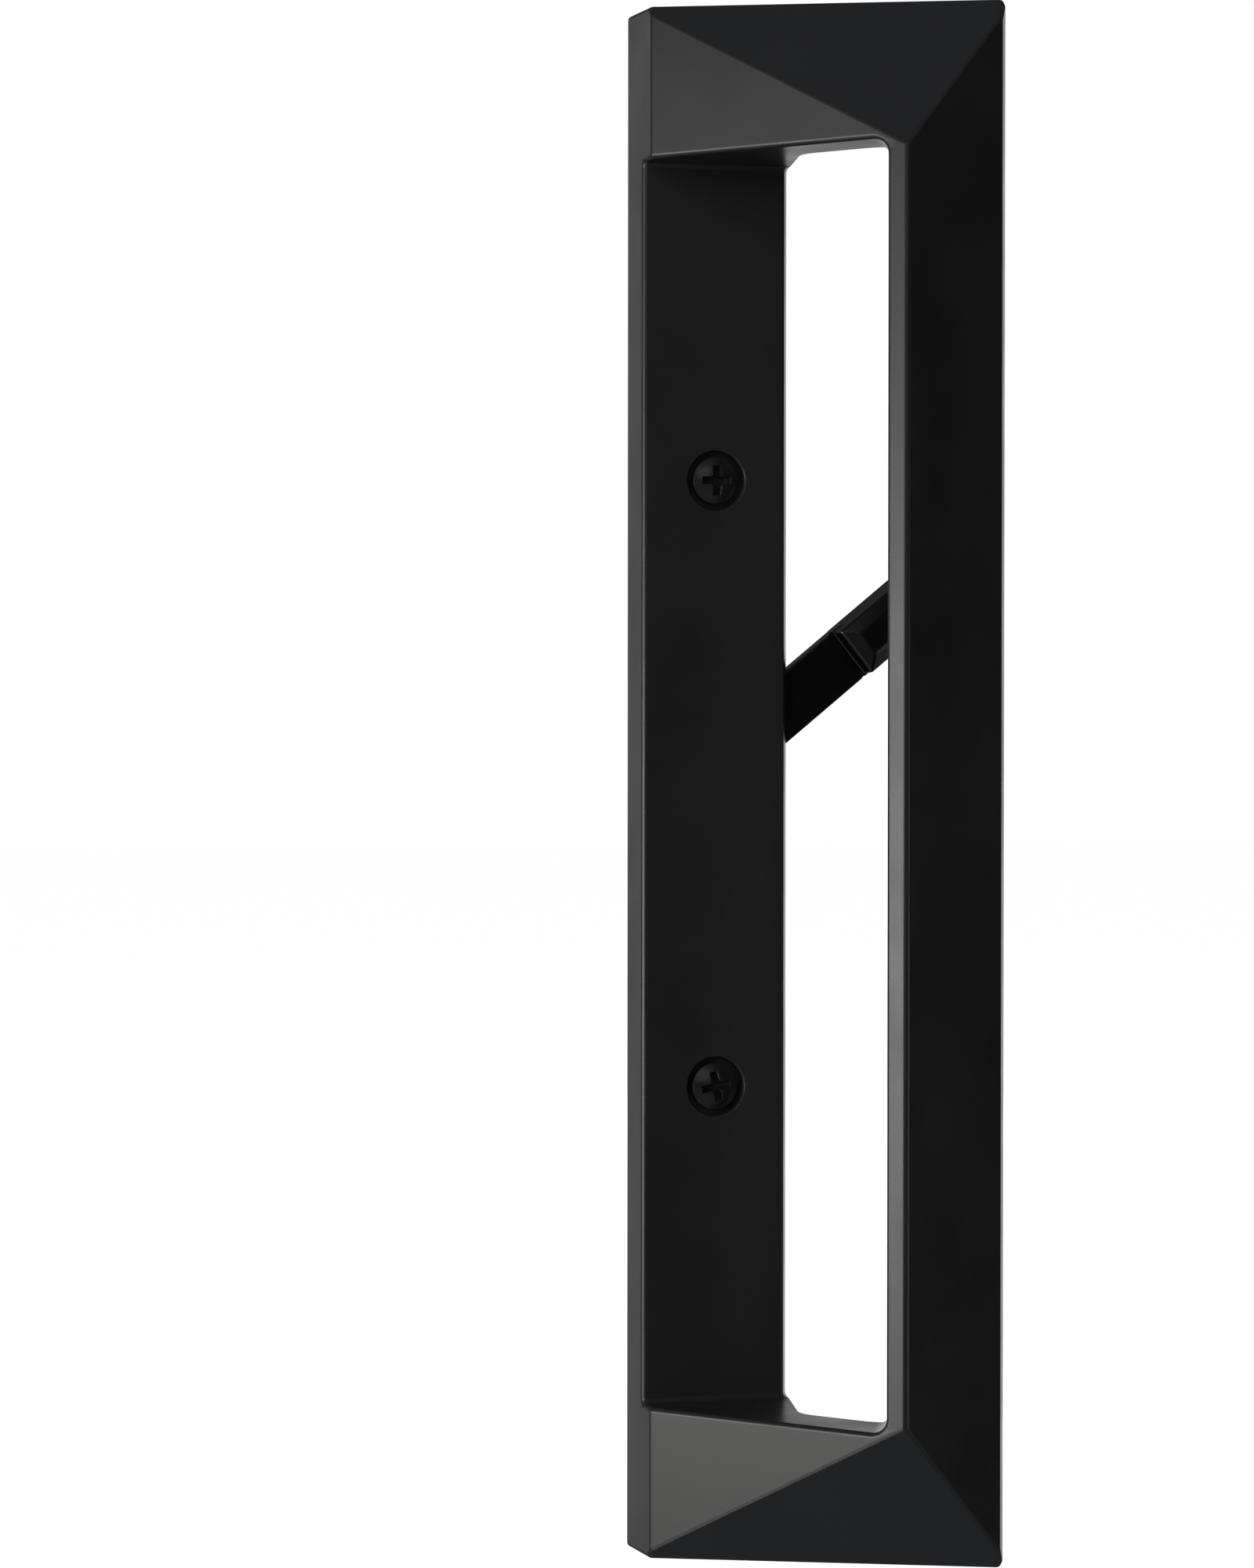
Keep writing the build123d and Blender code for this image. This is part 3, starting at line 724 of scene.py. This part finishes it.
# %% [markdown]
# The room is white to the camera and to glass. Polished metal and paint should mirror that white too, but
# only where it really stands: behind the handle, fading to both sides, upwards and downwards. Elsewhere
# the room is a dark studio with a dim ceiling and floor, so that black paint can look black. A room that
# is white all round would grey every facet alike, and the ridge would vanish.

# %% Room
# Each step: where it starts and ends along its direction, and the brightness at both.
PAPER_BEHIND = (0.3, 0.7, 0.0, 1.0)
PAPER_UP_AND_DOWN = (0.15, 0.27, 1.0, 0.0)
PAPER_LEFT = (-0.45, 0.1, 0.12, 1.0)
PAPER_RIGHT = (0.3, 0.62, 1.0, 0.35)
CEILING = (0.2, 0.6, 0.02, 0.13)
FLOOR = (-0.5, -0.1, 0.15, 0.0)
STUDIO_TINT = (0.86, 0.91, 1.0, 1)
room = bpy.data.worlds.new("studio")
room.use_nodes = True
scene.world = room
tree = room.node_tree
tree.nodes.clear()
rays = put(tree, "ShaderNodeLightPath")
way = put(tree, "ShaderNodeTexCoord")
split = put(tree, "ShaderNodeSeparateXYZ")
tree.links.new(way.outputs["Generated"], split.inputs[0])
to_x, to_y, to_z = split.outputs
steep = blend(tree, "ABSOLUTE", to_z, 0.0)
behind = blend(tree, "MULTIPLY", ramp(tree, to_y, *PAPER_BEHIND), ramp(tree, steep, *PAPER_UP_AND_DOWN))
beside = blend(tree, "MULTIPLY", ramp(tree, to_x, *PAPER_LEFT), ramp(tree, to_x, *PAPER_RIGHT))
paper = blend(tree, "MULTIPLY", behind, beside)
seen = blend(tree, "MAXIMUM", rays.outputs["Is Camera Ray"], rays.outputs["Is Transmission Ray"])
mirrored = blend(tree, "MULTIPLY", rays.outputs["Is Glossy Ray"], paper)
seen = blend(tree, "MAXIMUM", seen, mirrored)
white = put(tree, "ShaderNodeBackground")
white.inputs["Color"].default_value = (1, 1, 1, 1)
studio = put(tree, "ShaderNodeBackground")
studio.inputs["Color"].default_value = STUDIO_TINT
above = ramp(tree, to_z, *CEILING)
below = ramp(tree, to_z, *FLOOR)
tree.links.new(blend(tree, "ADD", above, below), studio.inputs["Strength"])
choice = put(tree, "ShaderNodeMixShader")
tree.links.new(seen, choice.inputs["Fac"])
tree.links.new(studio.outputs[0], choice.inputs[1])
tree.links.new(white.outputs[0], choice.inputs[2])
tree.links.new(choice.outputs[0], put(tree, "ShaderNodeOutputWorld").inputs["Surface"])
print("room with", len(tree.nodes), "nodes")

# %% [markdown]
# Soft boxes light the handle. Two at the left stand where the left slopes mirror them, a little below the
# middle: a tall dim one and a low bright one, so the strip beside the window is brightest there and fades
# both ways. At the right no box stands where that slope mirrors it: two weak ones, nearer the front and
# nearer the back, only catch the rounded edges. A broad dim one above the camera lifts the faces that
# look up at it, and a small card low at the left picks out the near end of the thumb pad and the edges of
# the lower facet. The key at the front left and the lamp behind give the plain light that shows a colour
# as it is. Both are left out of reflections, as polarised lamps would be, or they would whiten every
# rounded edge.

# %% Soft boxes


def soft_box(name, place, target, width, height, radiance, colour):
    """A rectangular lamp that faces a point, given by how bright its face is."""
    lamp = bpy.data.lights.new(name, "AREA")
    lamp.shape = "RECTANGLE"
    lamp.size = width
    lamp.size_y = height
    lamp.energy = radiance * math.pi * width * height
    lamp.color = colour
    stand = bpy.data.objects.new(name, lamp)
    scene.collection.objects.link(stand)
    stand.location = place
    stand.rotation_euler = (Vector(target) - Vector(place)).to_track_quat("-Z", "Y").to_euler()
    stand.visible_camera = False
    print(name, "energy", round(lamp.energy, 2))
    return stand


# %% Lamps
# Each row: name, place, the point that it faces, width, height, brightness, colour, and if paint mirrors it.
WHITE = (1.0, 1.0, 1.0)
LAMPS = (
    ("left_box", (-0.62, -0.16, -0.05), (0, -0.03, -0.05), 0.5, 0.2, 4.6, (1.0, 1.0, 0.96), True),
    ("left_wash", (-0.64, -0.165, -0.06), (0, -0.03, -0.05), 0.5, 0.5, 1.5, (1.0, 1.0, 0.97), True),
    ("right_front_box", (0.58, -0.44, -0.14), (0, -0.03, -0.02), 0.22, 0.3, 1.6, (0.94, 0.96, 1.0), True),
    ("right_back_box", (0.475, 0.42, -0.02), (0, -0.03, -0.02), 0.42, 0.5, 0.7, (0.95, 0.97, 1.0), True),
    ("front_box", (-0.3, -0.9, 0.42), (0, -0.03, 0), 0.6, 0.6, 0.45, WHITE, True),
    ("low_card", (-0.43, -0.16, -0.49), (0.03, -0.01, 0.02), 0.3, 0.3, 1.8, WHITE, True),
    ("key_box", (-0.56, -0.68, 0.34), (0, -0.03, 0), 0.7, 0.7, 5.8, WHITE, False),
    ("back_box", (0.25, 0.75, 0.35), (0, 0, 0), 0.8, 0.8, 3.0, WHITE, False),
)
for *row, in_paint in LAMPS:
    soft_box(*row).visible_glossy = in_paint
